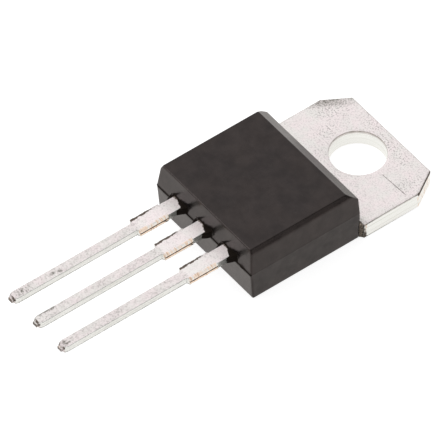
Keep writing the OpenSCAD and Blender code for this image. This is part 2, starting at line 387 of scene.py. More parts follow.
def plug(tree, node, inputs):
    """Links or sets inputs of a node, by name or number. A colour is three numbers."""
    for key, value in inputs.items():
        socket = node.inputs[key]
        if isinstance(value, bpy.types.NodeSocket):
            tree.links.new(value, socket)
        elif socket.type == "RGBA":
            socket.default_value = (*value[:3], 1.0)
        else:
            socket.default_value = value
    return node


def add(tree, kind, inputs=None, **settings):
    """Adds a shader node, with its settings and with its inputs set or linked."""
    made = tree.nodes.new("ShaderNode" + kind)
    for key, value in settings.items():
        setattr(made, key, value)
    return plug(tree, made, inputs or {})


def empty_tree(owner):
    """Empty node tree of a material or a world."""
    owner.use_nodes = True
    owner.node_tree.nodes.clear()
    return owner.node_tree


def new_material(name):
    """Node material, with its principled shader and the piece's own coordinates."""
    material = bpy.data.materials.new(name)
    tree = empty_tree(material)
    shader = add(tree, "BsdfPrincipled")
    add(tree, "OutputMaterial", {"Surface": shader.outputs["BSDF"]})
    place = add(tree, "TexCoord").outputs["Object"]
    return material, tree, shader, place


def noise(tree, place, size, detail=2.0, roughness=0.5, stretch=(1, 1, 1)):
    """Noise whose features measure about size, stretched along the axes."""
    scaled = add(tree, "Mapping", {"Vector": place, "Scale": [1 / (size * s) for s in stretch]})
    made = add(tree, "TexNoise", {
        "Vector": scaled.outputs["Vector"], "Scale": 1.0, "Detail": detail, "Roughness": roughness,
    })
    return made.outputs["Fac"]


def remap(tree, value, low, high, start=0.0, end=1.0, smooth=False):
    """Maps low..high of a value to start..end, held at both ends."""
    return add(tree, "MapRange", {
        "Value": value, "From Min": low, "From Max": high, "To Min": start, "To Max": end,
    }, interpolation_type="SMOOTHSTEP" if smooth else "LINEAR").outputs["Result"]


def calc(tree, operation, *values):
    """Result of one arithmetic step on the values."""
    return add(tree, "Math", dict(enumerate(values)), operation=operation).outputs["Value"]


def times(tree, first, second):
    """Product of two values."""
    return calc(tree, "MULTIPLY", first, second)


def mix_colour(tree, share, first, second):
    """Colour between first and second, by the share."""
    return add(tree, "Mix", {0: share, 6: first, 7: second}, data_type="RGBA").outputs[2]


def mix_value(tree, share, first, second):
    """Number between first and second, by the share."""
    return add(tree, "Mix", {0: share, 2: first, 3: second}, data_type="FLOAT").outputs[0]


def bump(tree, height, distance, under=None):
    """Normal from a height in metres per unit, on top of another one."""
    inputs = {"Height": height, "Distance": distance}
    if under is not None:
        inputs["Normal"] = under
    return add(tree, "Bump", inputs).outputs["Normal"]


def mask_of(tree, name):
    """The piece's own attribute of that name."""
    return add(tree, "Attribute", attribute_name=name).outputs["Fac"]


def worn(tree, mask, texture, depth):
    """The mask with its edge broken up by a texture: on at 1, off at 0, patchy between."""
    lifted = calc(tree, "MULTIPLY_ADD", texture, depth, mask)
    return remap(tree, lifted, 0.42 + depth / 2, 0.58 + depth / 2)


def resin_material(look):
    """Black epoxy: faint patches, filler grains, satin skin, matt and darker along the flash, where the
    dark is partly painted shade; the low sides reflect less, a painted shade.
    """
    material, tree, shader, place = new_material("black_epoxy")
    patch = noise(tree, place, 1.6 * MM, 3)
    grain = noise(tree, place, 0.06 * MM, 2, 0.6)
    skin = noise(tree, place, 0.35 * MM, 3)
    cloud = noise(tree, place, 0.8 * MM, 4, 0.6)
    crumbs = remap(tree, noise(tree, place, 0.09 * MM, 3), 0.37, 0.58)
    flash, dull, residue = (mask_of(tree, name) for name in RESIN_MASKS)
    broken_and_shaded = calc(tree, "MAXIMUM", flash, residue)

    tone = mix_colour(tree, remap(tree, patch, 0.35, 0.65), look.dark, look.light)
    tone = mix_colour(tree, remap(tree, grain, 0.66, 0.74, 0.0, 0.35), tone, look.filler)
    # Flash mask: broken resin plus painted shade on the parting band, beside the roots and on the webs.
    tone = mix_colour(tree, flash, tone, look.flash_and_shade_tone)
    tone = mix_colour(tree, residue, tone, mix_colour(tree, crumbs, look.crust_dark, look.crust_light))
    satin = remap(tree, skin, 0.3, 0.7, look.gloss - 0.03, look.gloss + 0.05)
    shine = mix_value(tree, broken_and_shaded, remap(tree, cloud, 0.35, 0.65, 0.39, 0.50), 0.06)
    fine = bump(tree, grain, 0.0012 * MM)
    plug(tree, shader, {
        "Base Color": tone,
        "Roughness": mix_value(tree, broken_and_shaded, satin, 0.62),
        "Normal": bump(tree, skin, 0.0025 * MM, under=fine),
        # Painted shade: the low side walls' mask dims their reflection.
        "Specular IOR Level": calc(tree, "SUBTRACT", shine, times(tree, dull, 0.11)),
        "IOR": 1.47,
        "Specular Tint": (1.0, 0.84, 0.81),
    })
    return material


# Parts of the scored line, in millimetres along x: start, fade in, end, fade out, and strength
SCORE_PARTS = ((2.0, 0.5, 4.75, 0.25, 1.0), (-3.2, 0.2, -2.0, 0.2, 0.45))


def score_line(tree, place, look):
    """Mask of the fine line scored across the tab, dark on its right part and faint on its left.

    Its distance from a point is |y - (offset + slope * x)|, made uneven by noise.
    """
    split = add(tree, "SeparateXYZ", {"Vector": place})
    x, y, z = (split.outputs[axis] for axis in "XYZ")
    lean = calc(tree, "MULTIPLY_ADD", x, -look.score_slope, y)
    away = calc(tree, "ABSOLUTE", calc(tree, "SUBTRACT", lean, look.score_place))
    uneven = remap(tree, noise(tree, place, 0.16 * MM, 2), 0.3, 0.5)
    line = times(tree, remap(tree, away, 0.012 * MM, 0.04 * MM, 1.0, 0.0), uneven)
    right, left = (
        times(tree, remap(tree, x, start * MM, (start + fade_in) * MM, 0.0, strength),
              remap(tree, x, (end - fade_out) * MM, end * MM, 1.0, 0.0))
        for start, fade_in, end, fade_out, strength in SCORE_PARTS
    )
    on_top = remap(tree, z, TAB_THICKNESS * 0.97, TAB_THICKNESS * 0.99)
    return times(tree, line, times(tree, calc(tree, "ADD", right, left), on_top))


def tin_material(look):
    """Matt tin on copper: stippled faces, layered walls lightened as a painted reflection, edges, slits and
    facets darkened with painted shade, bare copper, dark burrs and grime.
    """
    material, tree, shader, place = new_material("matt_tin")
    patch = noise(tree, place, 1.1 * MM, 3)
    hue = noise(tree, place, 0.8 * MM, 2)
    grain = noise(tree, place, 0.08 * MM, 2, 0.6)
    stipple = noise(tree, place, 0.11 * MM, 2)
    dashes = noise(tree, place, 0.3 * MM, 3, 0.6)
    strokes = noise(tree, place, 0.11 * MM, 2, stretch=(6, 1, 6))
    drawn = noise(tree, place, 0.05 * MM, 2, stretch=(1, 14, 1))
    layers = noise(tree, place, 0.15 * MM, 2, stretch=(40, 40, 1))
    wall, rim, bare, burnt, grime, scuff = (mask_of(tree, name) for name in METAL_MASKS)
    score = score_line(tree, place, look)

    tone = mix_colour(tree, remap(tree, hue, 0.35, 0.65), look.tin, look.warm_tin)
    tone = mix_colour(tree, remap(tree, patch, 0.4, 0.7, 0.0, 0.3), tone, look.cloudy_tin)
    tone = mix_colour(tree, remap(tree, grain, 0.52, 0.75, 0.0, 0.34), tone, look.grain_tone)
    pits = calc(tree, "ADD", remap(tree, patch, 0.4, 0.7, 0.13, 0.34), scuff)
    pits = times(tree, remap(tree, stipple, 0.53, 0.62), pits)
    tone = mix_colour(tree, pits, tone, look.pit_tone)
    layered = remap(tree, layers, 0.5, 0.68, 0.0, 0.4)
    # Walls: their own layered tin, lightened in colour as a painted reflection.
    tone = mix_colour(tree, wall, tone, mix_colour(tree, layered, look.side_tin_and_sheen, look.layer_tone))
    # Painted shade: a dashed dark line along the rolled upper edges.
    outline = times(tree, rim, remap(tree, dashes, 0.35, 0.65, 0.25, 0.85))
    tone = mix_colour(tree, outline, tone, look.rim_shade_tone)
    drag = remap(tree, strokes, 0.55, 0.68, 0.0, 0.55)
    hatched = mix_colour(tree, drag, look.copper, look.drag_tone)
    tone = mix_colour(tree, worn(tree, bare, strokes, 0.9), tone, hatched)
    # Dirt, plus painted shade along the leads' lower edges and on the roots' walls.
    dirt_and_shade = times(tree, grime, remap(tree, stipple, 0.38, 0.62, 0.35, 1.0))
    tone = mix_colour(tree, dirt_and_shade, tone, look.grime)
    # Burrs and torn copper, plus painted shade in slits, on coined facets and along the tab's edges.
    dark = worn(tree, burnt, mix_value(tree, 0.5, grain, dashes), 0.8)
    tone = mix_colour(tree, dark, tone, look.scorch_and_shade)
    tone = mix_colour(tree, times(tree, score, 0.75), tone, look.score_tone)

    matt = remap(tree, patch, 0.3, 0.7, look.gloss - 0.05, look.gloss + 0.06)
    matt = mix_value(tree, wall, matt, 0.22)
    metal = mix_value(tree, wall, look.mirror, 1.0)
    fine = bump(tree, grain, 0.003 * MM)
    lined = bump(tree, drawn, 0.0012 * MM, under=fine)
    plug(tree, shader, {
        "Base Color": tone,
        "Roughness": mix_value(tree, dark, matt, 0.7),
        "Metallic": mix_value(tree, calc(tree, "MAXIMUM", dark, dirt_and_shade), metal, 0.0),
        "Normal": bump(tree, score, -0.02 * MM, under=lined),
    })
    return material


def plain_metal(name, size, detail, dark, light, matt, depth):
    """Metal whose colour, roughness and height all follow one noise."""
    material, tree, shader, place = new_material(name)
    marks = noise(tree, place, size, detail)
    plug(tree, shader, {
        "Base Color": mix_colour(tree, remap(tree, marks, 0.3, 0.7), dark, light),
        "Roughness": remap(tree, marks, 0.3, 0.7, *matt),
        "Normal": bump(tree, marks, depth),
        "Metallic": 1.0,
    })
    return material


def solder_material():
    """Dull soft solder with a wrinkled skin."""
    return plain_metal(
        "soft_solder", 0.12 * MM, 4, (0.33, 0.33, 0.34), (0.48, 0.475, 0.47), (0.4, 0.6), 0.006 * MM)


def wire_material():
    """Drawn aluminium wire with fine marks."""
    return plain_metal(
        "aluminium_wire", 0.04 * MM, 3, (0.70, 0.71, 0.73), (0.83, 0.84, 0.85), (0.25, 0.4), 0.002 * MM)


def silicon_material():
    """Polished silicon with a faint grid of metal tracks."""
    material, tree, shader, place = new_material("silicon_chip")
    scaled = add(tree, "Mapping", {"Vector": place, "Scale": (1 / MM, 1 / MM, 1 / MM)})
    tracks = add(tree, "TexBrick", {
        "Vector": scaled.outputs["Vector"], "Scale": 1.0, "Color1": (1.0, 1.0, 1.0),
        "Color2": (0.9, 0.9, 0.9), "Mortar": (0.0, 0.0, 0.0), "Mortar Size": 0.035,
        "Brick Width": 0.9, "Row Height": 0.22,
    }).outputs["Color"]
    haze = noise(tree, place, 0.5 * MM, 2)
    plug(tree, shader, {
        "Base Color": mix_colour(tree, tracks, (0.06, 0.065, 0.10), (0.62, 0.62, 0.63)),
        "Roughness": remap(tree, haze, 0.3, 0.7, 0.16, 0.26),
        "Normal": bump(tree, haze, 0.001 * MM),
        "Metallic": 0.8,
    })
    return material


# ---------------------------------------------------------------------------
# Leads
# ---------------------------------------------------------------------------

LEAD_STEP = 0.06 * MM
LEAD_RING = rounded_ring(3, 20, 12)


def lead_places(look, front):
    """Places along a lead: behind its nib, at the stub's full width, and at the root's outer end."""
    return (
        LEAD_END + look.nib_length,
        front - look.stub_reach + look.shoulder,
        front - look.root_length,
    )


def end_width(look, along):
    """Width of a lead at a distance from its nib; its end's cuts follow a quarter of a sine wave."""
    turn = np.pi / 2 * np.clip(along / look.tip_cut_along, 0, 1)
    return look.lead_width - 2 * look.tip_cut_across * (1 - np.sin(turn))


def swept_bar(name, centre_x, path_y, path_z, tilt, width, thickness, radius, wear=None):
    """Bar whose rounded rectangular section moves along a path in the y-z plane.

    A point is the path's point, plus its share of the section's half width along x, plus its
    share of the half thickness along the path's normal, which leans by tilt from z. The wear
    then moves the points, which it gets as seen from the bar's own centre line.
    """
    share, way = LEAD_RING
    half_x = (width / 2)[:, None]
    half_n = (thickness / 2)[:, None]
    out_x = share[:, 0] * (half_x - radius) + way[:, 0] * radius
    out_n = share[:, 1] * (half_n - radius) + way[:, 1] * radius
    points = np.stack([
        out_x,
        path_y[:, None] + out_n * np.sin(tilt)[:, None],
        path_z[:, None] + out_n * np.cos(tilt)[:, None],
    ], axis=-1)
    if wear is not None:
        points = points + wear(*np.moveaxis(points, -1, 0))
    return grid_mesh(name, points[:, ::-1] + (centre_x, 0, 0))


def stub_wear(look, front, seed):
    """Wear of a stub: how far its points move, from their places beside the lead's centre line.

    A ragged burr stands on the left upper edge, and the right upper edge is rolled down. Each
    cut wall has a groove under its sheared upper part, and its torn lower part stands back.
    """
    half = look.stub_width / 2
    _, start, root = lead_places(look, front)

    def move(x, y, z):
        on = band(y, start, root, 0.05 * MM)
        ragged = 0.6 + 0.4 * ripple(y, 0 * y, seed, 0.15 * MM)
        high = np.clip((z - LEAD_TOP) / (0.06 * MM) + 1, 0, 1)
        left = np.exp(-((x + half - 0.03 * MM) / (0.06 * MM)) ** 2)
        right = np.exp(-((x - half) / (0.07 * MM)) ** 2)
        height = (z - LEAD_MIDDLE) / (LEAD_THICKNESS / 2)
        groove = np.exp(-((height - 0.05) / 0.13) ** 2)
        torn = np.clip(-height / 0.2, 0, 1) * (0.6 + 0.4 * ripple(y, z, seed + 1, 0.12 * MM))
        at_wall = np.clip((np.abs(x) - half) / (0.02 * MM) + 1, 0, 1)
        inward = at_wall * (look.shear_groove * groove + look.tear * torn)
        lift = high * (look.burr * left * ragged - look.shear_roll * right)
        return np.stack([-np.sign(x) * on * inward, 0 * y, on * lift], axis=-1)

    return move


def outer_lead_breaks(look, front):
    """Rows of y, width and thickness of a lead, from its nib to the moulding's front."""
    tip, start, root = lead_places(look, front)
    full = LEAD_THICKNESS
    along = np.unique(np.append(np.linspace(0, look.tip_cut_along, 9), look.tip_length))
    thickness = np.interp(along, [0, look.tip_length], [look.tip_thickness, full])
    return [
        (LEAD_END, look.nib_width, look.tip_thickness),
        (tip, look.nib_width, look.tip_thickness),
        *zip(tip + along, end_width(look, along), thickness),
        (start - look.shoulder, look.lead_width, full),
        (start, look.stub_width, full),
        (root, look.stub_width, full),
        (root, look.root_width, full),
        (front, look.root_width, full),
    ]


def sampled(breaks, step):
    """Columns of a table of breaks, with rows added between them, none more than step apart."""
    table = np.array(breaks, float)
    at = stations(table[:, 0], step)
    return [np.interp(at, np.arange(len(table)), column) for column in table.T]


def straight_lead(name, centre_x, look, front):
    """Outer lead, which ends inside the moulding in a bond post on a narrower neck."""
    inner = [
        (front + look.neck, look.root_width, LEAD_THICKNESS),
        (front + look.neck, POST_WIDTH, LEAD_THICKNESS),
        (POST_END, POST_WIDTH, LEAD_THICKNESS),
    ]
    y, width, thickness = sampled(outer_lead_breaks(look, front) + inner, LEAD_STEP)
    level = np.full_like(y, LEAD_MIDDLE)
    wear = stub_wear(look, front, 31 if centre_x < 0 else 33)
    return swept_bar(name, centre_x, y, level, 0 * y, width, thickness, look.arris, wear)


def bent_lead(name, look, front):
    """Middle lead: straight outside, then the link that bends down to the plate.

    The link's centre line is an arc, a straight slope and an arc back to level.
    """
    arc_r = look.bend_radius + LEAD_THICKNESS / 2
    top_z = LEAD_MIDDLE
    low_z = TAB_THICKNESS - LEAD_THICKNESS / 2
    plate_front = -(look.pad_front + look.grip)
    slope = ((top_z - low_z) - 2 * arc_r * (1 - math.cos(look.bend))) / math.sin(look.bend)
    run = 2 * arc_r * math.sin(look.bend) + slope * math.cos(look.bend)
    start = plate_front - run
    turn = np.linspace(0, look.bend, 9)
    arc_y, arc_z = arc_r * np.sin(turn), arc_r * (1 - np.cos(turn))

    y, width, thickness = sampled(outer_lead_breaks(look, front), LEAD_STEP)
    link_y = np.concatenate([
        [front + look.neck / 2, front + look.neck], start + arc_y,
        (plate_front - arc_y)[::-1], [plate_front + 0.2 * MM],
    ])
    link_z = np.concatenate([
        [top_z, top_z], top_z - arc_z, (low_z + arc_z)[::-1], [low_z],
    ])
    link_tilt = np.concatenate([[0, 0], turn, turn[::-1], [0]])
    link_width = np.where(np.arange(len(link_y)) < 1, look.root_width, look.link_width)
    return swept_bar(
        name, 0.0, np.concatenate([y, link_y]),
        np.concatenate([np.full_like(y, top_z), link_z]),
        np.concatenate([0 * y, link_tilt]),
        np.concatenate([width, link_width]),
        np.concatenate([thickness, np.full_like(link_y, LEAD_THICKNESS)]), look.arris,
        stub_wear(look, front, 35),
    )


# ---------------------------------------------------------------------------
# Tab and plate
# ---------------------------------------------------------------------------

def mitres(corners):
    """How far each corner of an anticlockwise outline moves when its sides move in by one."""
    along = np.roll(corners, -1, 0) - corners
    along /= np.linalg.norm(along, axis=1)[:, None]
    inward = np.stack([-along[:, 1], along[:, 0]], 1)
    before = np.roll(inward, 1, 0)
    return (inward + before) / (1 + (inward * before).sum(1))[:, None]


def tab_corners(look):
    """Corners of the tab and the bare plate, seen from above, anticlockwise."""
    half_pad, half_tab = look.pad_width / 2, TAB_HALF
    right = np.array([
        [half_pad, -look.pad_front],
        [half_pad, -look.tab_step],
        [half_tab, -look.tab_step],
        [half_tab, TAB_END - look.tab_cut_along],
        [half_tab - look.tab_cut_across, TAB_END],
    ])
    left = right[::-1] * (-1, 1)
    return np.concatenate([right, left])


def tab_plate(name, look):
    """Tab with its hole and the plate behind it, as one closed ring of sections.

    Each column stands at one point of the outline and at the point of the hole's circle in
    the same direction. Its rows go up the hole's wall, over the rim's quarter circle, across the top
    to the rolled outer edge, down the wall and back under the bottom.
    """
    corners = tab_corners(look)
    corners = np.concatenate([corners, corners[:1]])
    shift = mitres(corners[:-1])
    shift = np.concatenate([shift, shift[:1]])
    run = np.concatenate([[0], np.cumsum(np.linalg.norm(np.diff(corners, axis=0), axis=1))])
    at = stations(run, 0.16 * MM)[:-1]
    numbers = np.arange(len(corners))
    outline = np.stack([np.interp(at, numbers, corners[:, k]) for k in (0, 1)], 1)
    inward = np.stack([np.interp(at, numbers, shift[:, k]) for k in (0, 1)], 1)
    radial = outline / np.linalg.norm(outline, axis=1)[:, None]

    quarter = np.linspace(0, np.pi / 2, 5)
    across = np.linspace(0, 1, 26)
    top, roll, arris = TAB_THICKNESS, look.roll, look.arris
    wall = np.linspace(arris, top - roll, 17)
    hole_wall = np.linspace(arris, top - arris, 6)
    sections = [
        (0 * hole_wall, 0 * hole_wall, hole_wall),
        (0 * quarter, arris * (1 - np.cos(quarter)), top - arris * (1 - np.sin(quarter))),
        (across, arris + (roll - arris) * across, top + 0 * across),
        (1 + 0 * quarter, roll * (1 - np.sin(quarter)), top - roll * (1 - np.cos(quarter))),
        (1 + 0 * wall, 0 * wall, wall[::-1]),
        (1 + 0 * quarter, arris * (1 - np.cos(quarter)), arris * (1 - np.sin(quarter))),
        (across[::-1], arris + 0 * across, 0 * across),
        (0 * quarter, arris * (1 - np.sin(quarter)), arris * (1 - np.cos(quarter))),
    ]
    share, inset, level = (np.concatenate(part) for part in zip(*sections))
    fresh = np.concatenate([[True], np.hypot(np.hypot(np.diff(share), np.diff(inset)), np.diff(level)) > 0])
    share, inset, level = (part[fresh][:, None, None] for part in (share, inset, level))
    inner = radial * (look.hole / 2 + inset)
    outer = outline + inward * inset
    flat = inner + (outer - inner) * share
    points = np.concatenate([flat, level + 0 * flat[..., :1]], axis=-1)
    return grid_mesh(name, points[:-1, ::-1], closed=True)


def header_piece(look, front):
    """The header: tab and plate with its overhang, vee groove, bent link and middle lead."""
    piece = tab_plate("collector", look)
    hair = 0.002 * MM
    high, low = TAB_THICKNESS - hair, look.grip_level
    y = np.array([-(look.pad_front + look.grip), -look.tab_step - hair])
    full = np.ones_like(y)
    overhang = swept_bar(
        "overhang", 0.0, y, full * (high + low) / 2, 0 * y,
        full * (look.pad_width + 2 * look.grip), full * (high - low), look.arris,
    )
    middle = bent_lead("middle_lead", look, front)
    combined(piece, "UNION", [overhang, middle])
    groove = vee_cutter(look)
    return combined(piece, "DIFFERENCE", [groove])


def vee_cutter(look):
    """Three-sided bar that presses the vee groove: its section is a triangle across y and z."""
    lift = 0.1 * MM
    spread = 1 + lift / look.groove_depth
    section = np.array([
        [-look.groove_width / 2 * spread, lift],
        [0.0, -look.groove_depth],
        [look.groove_width / 2 * spread, lift],
    ])
    x = np.array([-2 * TAB_HALF, 2 * TAB_HALF])[:, None, None]
    y = section[None, :, :1] - look.groove_back
    z = section[None, :, 1:] + TAB_THICKNESS
    points = np.concatenate([x + 0 * y, y + 0 * x, z + 0 * x], axis=-1)
    return grid_mesh("groove", points)


# ---------------------------------------------------------------------------
# Moulding
# ---------------------------------------------------------------------------

MOULDING_STEP = 0.11 * MM


def rounded_ends(z, wall, top_lean, low_lean, look):
    """Wall of the moulding with its top and bottom edges rounded.

    Past the point where it meets the wall, each edge is the arc of a circle that touches both
    the leaning wall and the flat face.
    """
    for level, lean, up in ((MOULDING_HEIGHT, top_lean, 1), (0.0, low_lean, -1)):
        centre = level - up * look.edge
        centre_out = np.interp(centre, z, wall) - look.edge / math.cos(lean)
        height = up * (z - centre)
        arc = centre_out + np.sqrt(np.clip(look.edge ** 2 - height ** 2, 0, None))
        wall = np.where(height > look.edge * math.sin(lean), arc, wall)
    return wall


def moulding_levels(look):
    """Heights of the moulding's rings, close together where its profile turns."""
    turn = np.linspace(0, np.pi / 2, 7)
    top, edge = MOULDING_HEIGHT, look.edge
    beside_parting = np.array([0.09, 0.06, 0.042, 0.03, 0.02, 0.01]) * MM
    beside_bend = np.linspace(-0.08, 0.08, 5) * MM
    beside_tab = np.array([-1e-7, 1e-7])
    parting_low, parting_high = LEAD_LOW - beside_parting, LEAD_LOW + beside_parting
    return np.unique(np.round(np.concatenate([
        edge * (1 - np.cos(turn)),
        np.linspace(edge, parting_low[0], 14),
        TAB_THICKNESS + beside_tab,
        parting_low, [LEAD_LOW], parting_high,
        np.linspace(parting_high[0], top - edge, 16),
        top - look.bevel_height + beside_bend,
        top - look.chamfer_height + beside_bend,
        top - edge * (1 - np.sin(turn)),
    ]), 9))


def flat_rings(ring):
    """Rings that run inwards over a flat face: each is the edge ring, shrunk towards its middle."""
    shares = np.array([0.006, 0.03, 0.1, 0.22, 0.36, 0.52, 0.68, 0.84, 0.96])[:, None, None]
    return ring + (ring.mean(axis=0) - ring) * shares


def moulding_profile(look, front, z):
    """Distances of the side, front and back walls from the hole's centre, at each height.

    Each wall moves in by straight lines of the height, which meet at the parting plane, the bevels
    and the chamfer.
    """
    soft = 0.03 * MM
    above, below = np.clip(z - LEAD_LOW, 0, None), np.clip(LEAD_LOW - z, 0, None)
    side = MOULDING_HALF - above * math.tan(look.side_draft) - below * math.tan(look.low_draft)
    bevel_foot = MOULDING_HEIGHT - look.bevel_height
    shoulder = MOULDING_HALF - (bevel_foot - LEAD_LOW) * math.tan(look.side_draft)
    lean = look.bevel_width / look.bevel_height
    bevel = shoulder - (z - bevel_foot) * lean
    side = rounded_ends(z, soft_min(side, bevel, soft), math.atan(lean), look.low_draft, look)

    nose = rounded_ends(z, -front - (above + below) * math.tan(look.draft), look.draft, look.draft, look)

    ledge = MOULDING_HEIGHT - look.chamfer_height
    rise = (ledge - z) / (ledge - TAB_THICKNESS)
    wall = np.where(z > TAB_THICKNESS, -look.back + rise * ledge * math.tan(look.low_draft), -look.back)
    slant = look.chamfer_length / look.chamfer_height
    chamfer = -look.back - (z - ledge) * slant
    tail = rounded_ends(z, soft_min(wall, chamfer, soft), math.atan(slant), 0.0, look)
    return side, nose, tail


def wall_relief(look, x, y, level, way):
    """How far the moulding's walls stand out at each point.

    A low ragged ridge, a bell curve of the height, follows the parting plane. It is thickest on
    the front, with a lump there, and thin on the other walls. A faint wave runs over all of them.
    """
    wander = LEAD_LOW + 0.012 * MM * ripple(x, y, 3, 0.9 * MM)
    ragged = 0.62 + 0.38 * ripple(x, y, 4, 0.22 * MM)
    facing = np.clip(0.12 - way[:, 1], 0.12, 1)
    lump = np.exp(-((x - look.lump) / (0.22 * MM)) ** 2) * (y < 0)
    height = look.flash * (facing * np.clip(ragged, 0.15, None) * (1 + 1.2 * lump))
    above = level - wander - 0.05 * MM * lump
    ridge = height * np.exp(-(above / (0.024 * MM + 0.04 * MM * lump)) ** 2)
    wave = 0.003 * MM * ripple(x + level, y - level, 5, 1.1 * MM)
    return ridge + wave * band(level, 0.3 * MM, MOULDING_HEIGHT - 0.4 * MM, 0.2 * MM)


def moulding_surface(look, front):
    """Outer surface of the moulding: ring by ring a rectangle with rounded corners."""
    z = moulding_levels(look)
    side, nose, tail = moulding_profile(look, front, z)
    x_steps, y_steps = round(2 * MOULDING_HALF / MOULDING_STEP), round((tail[0] + nose[0]) / MOULDING_STEP)
    share, way = rounded_ring(5, x_steps, y_steps)
    side, nose, tail = (part[:, None] for part in (side, nose, tail))
    middle, reach = (tail - nose) / 2, (tail + nose) / 2
    x = share[:, 0] * (side - look.corner) + way[:, 0] * look.corner
    y = middle + share[:, 1] * (reach - look.corner) + way[:, 1] * look.corner
    level = z[:, None] + 0 * x
    out = wall_relief(look, x, y, level, way)
    walls = np.stack([x + way[:, 0] * out, y + way[:, 1] * out, level], axis=-1)
    bottom, top = flat_rings(walls[0]), flat_rings(walls[-1])
    return grid_mesh("moulding", np.concatenate([bottom[::-1], walls, top]))


def web_block(centre_x, look, metal, front, seed):
    """Resin in the corners beside a lead: a bar that tapers along a ragged line to the lead.

    It laps over the right corner of the lead's upper face, beside the wall.
    """
    y = np.linspace(front + 0.25 * MM, front - look.front_inset, 22)[::-1]
    past = np.clip((front - y) / look.front_inset, 0, 1)
    width = metal.root_width + 2 * look.web_width * (1 - past) ** 0.8
    width = width + 0.03 * MM * ripple(y, 0 * y, seed, 0.1 * MM) * past
    thickness = LEAD_THICKNESS - 0.03 * MM + 0.012 * MM * ripple(y, 0 * y, seed + 9, 0.12 * MM)
    level = np.full_like(y, LEAD_MIDDLE)

    def torn(x, y, z):
        """Breaks the outer end of the web up and lifts its lap over the lead."""
        out = np.clip((front - y) / look.front_inset, 0, 1) ** 2
        ragged = ripple(x, y, seed + 5, 0.12 * MM)
        lap = 2 * x / metal.root_width + 0.3 - 1.4 * (front - y) / (0.3 * MM) + 0.35 * ragged
        lap = 0.07 * MM * np.clip(lap / 0.2, 0, 1) * (z > LEAD_TOP - 0.04 * MM)
        return np.stack([0 * x, 0.05 * MM * ripple(x, 2 * z, seed + 3, 0.11 * MM) * out, lap], axis=-1)

    return swept_bar("web", centre_x, y, level, 0 * y, width, thickness, 0.02 * MM, torn)


def notch_crust(side, look, metal, seed):
    """Crumbled resin in the notch between the back wall and the tab: a ragged upright bar."""
    y = np.linspace(-look.back - 0.1 * MM, -metal.tab_step + 0.02 * MM, 9)
    past = np.clip((y + look.back) / (look.back - metal.tab_step), 0, 1)
    inner = metal.pad_width / 2 + 0.05 * MM
    outer = MOULDING_HALF + (TAB_HALF - MOULDING_HALF) * past - 0.02 * MM
    level = np.full_like(y, TAB_THICKNESS / 2 - 0.02 * MM)
    thickness = np.full_like(y, TAB_THICKNESS - 0.06 * MM)

    def crumble(x, y, z):
        """Carries the bar out to its side and eats into its outer face."""
        reach = np.clip(2 * side * x / (outer - inner)[:, None], 0, 1)
        out = (inner + outer)[:, None] / 2 + 0.05 * MM * (ripple(z, y, seed, 0.13 * MM) - 1) * reach
        return np.stack([side * out, 0 * y, 0 * y], axis=-1)

    return swept_bar(
        "crust", 0.0, y, level, 0 * y, outer - inner, thickness, 0.03 * MM, crumble,
    )


# ---------------------------------------------------------------------------
# Marks
# ---------------------------------------------------------------------------

# Tolerance on a place along the metal, and depth of a face's own layer of vertices
HAIR = 0.004 * MM
SKIN = 0.02 * MM

# Dark spots on the upper faces, in millimetres: place, half sizes and strength
SPOTS = (
    (-2.53, -24.78, 0.14, 0.11, 1.6), (-2.43, -21.87, 0.13, 0.13, 1.9), (-2.55, -22.35, 0.13, 0.22, 1.2),
    (-0.28, -24.20, 0.12, 0.22, 2.2), (-0.31, -24.75, 0.08, 0.42, 1.6), (-2.54, -24.90, 0.45, 1.10, 0.42),
    (2.62, -25.15, 0.10, 0.30, 1.2), (2.42, -25.25, 0.09, 0.24, 1.1), (-3.98, 2.58, 0.20, 0.16, 1.2),
    (-4.70, 1.15, 0.28, 0.30, 1.3), (3.70, 0.30, 0.10, 0.08, 0.5),
)

# Rough patches with a coarser stipple, measured in the same way
SCUFFS = (
    (-1.40, 2.20, 1.10, 0.45, 0.40), (0.90, 2.05, 1.30, 0.50, 0.48), (2.10, 1.75, 0.80, 0.60, 0.45),
    (0.40, -2.60, 1.80, 0.60, 0.35), (-2.70, -0.60, 0.50, 0.90, 0.35), (4.15, 1.05, 0.50, 1.00, 0.38),
    (-4.10, 1.20, 1.00, 1.20, 0.50), (-2.54, -25.00, 0.50, 0.90, 0.35), (0.00, -25.20, 0.50, 0.50, 0.25),
    (2.54, -25.10, 0.50, 0.60, 0.30), (-2.60, -3.20, 1.50, 0.40, 0.25),
)


def marked(x, y, marks):
    """The strongest of the marks at each place; a mark fades as a bell away from its middle."""
    total = 0 * x
    for middle_x, middle_y, half_x, half_y, strength in marks:
        away = ((x / MM - middle_x) / half_x) ** 2 + ((y / MM - middle_y) / half_y) ** 2
        total = np.maximum(total, strength * np.exp(-away))
    return total


def from_lead(x):
    """Distance across from the nearest lead's centre line."""
    return x - LEAD_PITCH * np.round(np.clip(x / LEAD_PITCH, -1, 1))


def from_cut(x, y, look):
    """Distance inwards from the slanted edge of the tab's nearer corner."""
    across, along = look.tab_cut_across, look.tab_cut_along
    inwards = along * (TAB_HALF - np.abs(x)) + across * (TAB_END - along - y)
    return inwards / math.hypot(across, along)


